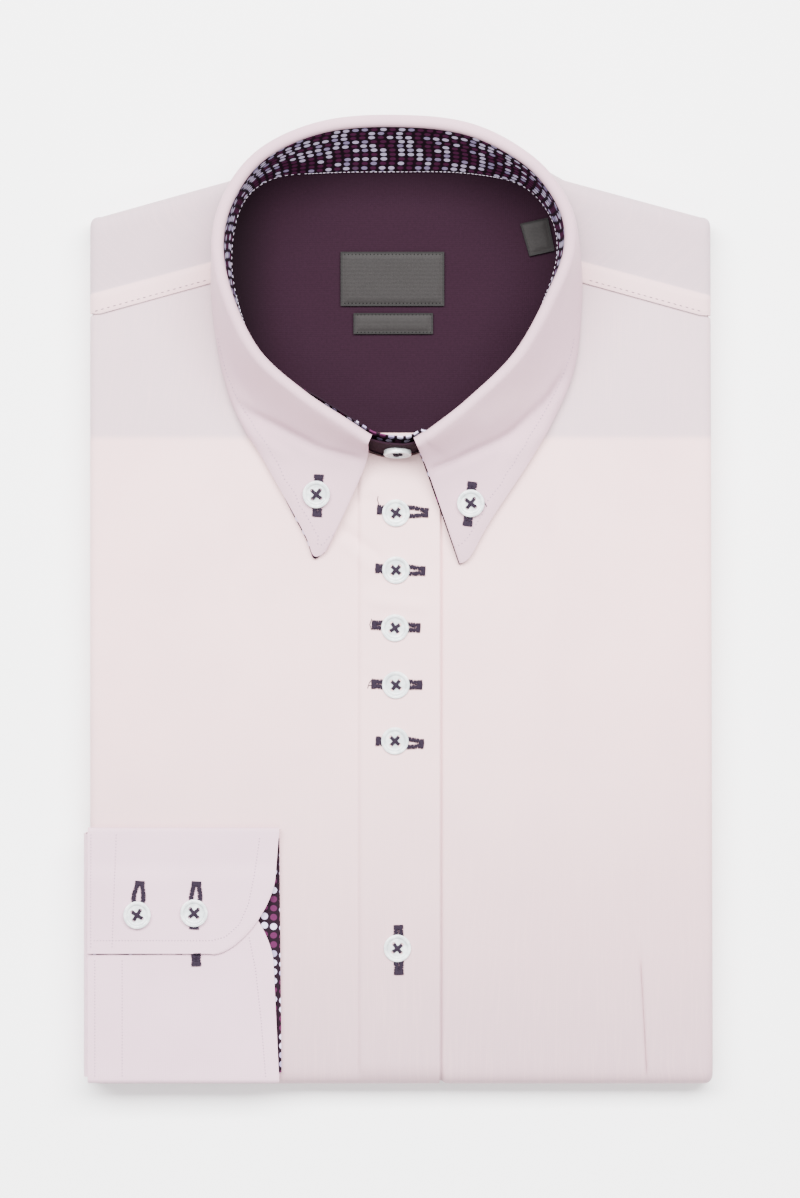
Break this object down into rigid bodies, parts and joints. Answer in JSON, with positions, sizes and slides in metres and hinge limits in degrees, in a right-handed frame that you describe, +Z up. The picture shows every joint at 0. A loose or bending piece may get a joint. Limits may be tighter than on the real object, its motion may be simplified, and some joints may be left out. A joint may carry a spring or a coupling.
{
  "type": "long sleeve dress shirt",
  "caption": "Long sleeve dress shirt in pale pink cotton, buttoned and folded flat as sold, with a button-down collar, dark inner neck, dotted print trim and one cuff across the front.",
  "frame": {"origin": "centre of the bounding box at its bottom, under the middle of the folded shirt", "axes": "+X to the right of the folded shirt as seen from above, +Y along the front towards the collar, +Z up from the surface that it lies on"},
  "size_m": [0.2579, 0.3942, 0.0535],
  "materials": {
    "shirt_cotton": "matte",
    "collar_cotton": "matte",
    "dark_facing": "matte",
    "dot_print": "matte",
    "label_satin": "satin",
    "pearl_button": "glossy"
  },
  "bodies": {
    "root": {"folded_back": "shirt_cotton", "inner_yoke": "dark_facing", "front_right": "shirt_cotton", "front_left": "shirt_cotton", "outer_yoke": "shirt_cotton", "collar_leaf": "collar_cotton", "under_collar": "dot_print", "collar_stand": "dark_facing", "sleeve_end": "shirt_cotton", "cuff": "collar_cotton", "stand_facing": "dot_print", "cuff_facing": "dot_print", "main_label": "label_satin", "small_label": "label_satin", "size_tab": "label_satin", "placket_button_1": "pearl_button", "placket_button_2": "pearl_button", "placket_button_3": "pearl_button", "placket_button_4": "pearl_button", "placket_button_5": "pearl_button", "placket_button_6": "pearl_button", "cuff_button_1": "pearl_button", "cuff_button_2": "pearl_button", "collar_button_left": "pearl_button", "collar_button_right": "pearl_button", "stand_button": "pearl_button"}
  },
  "joints": []
}
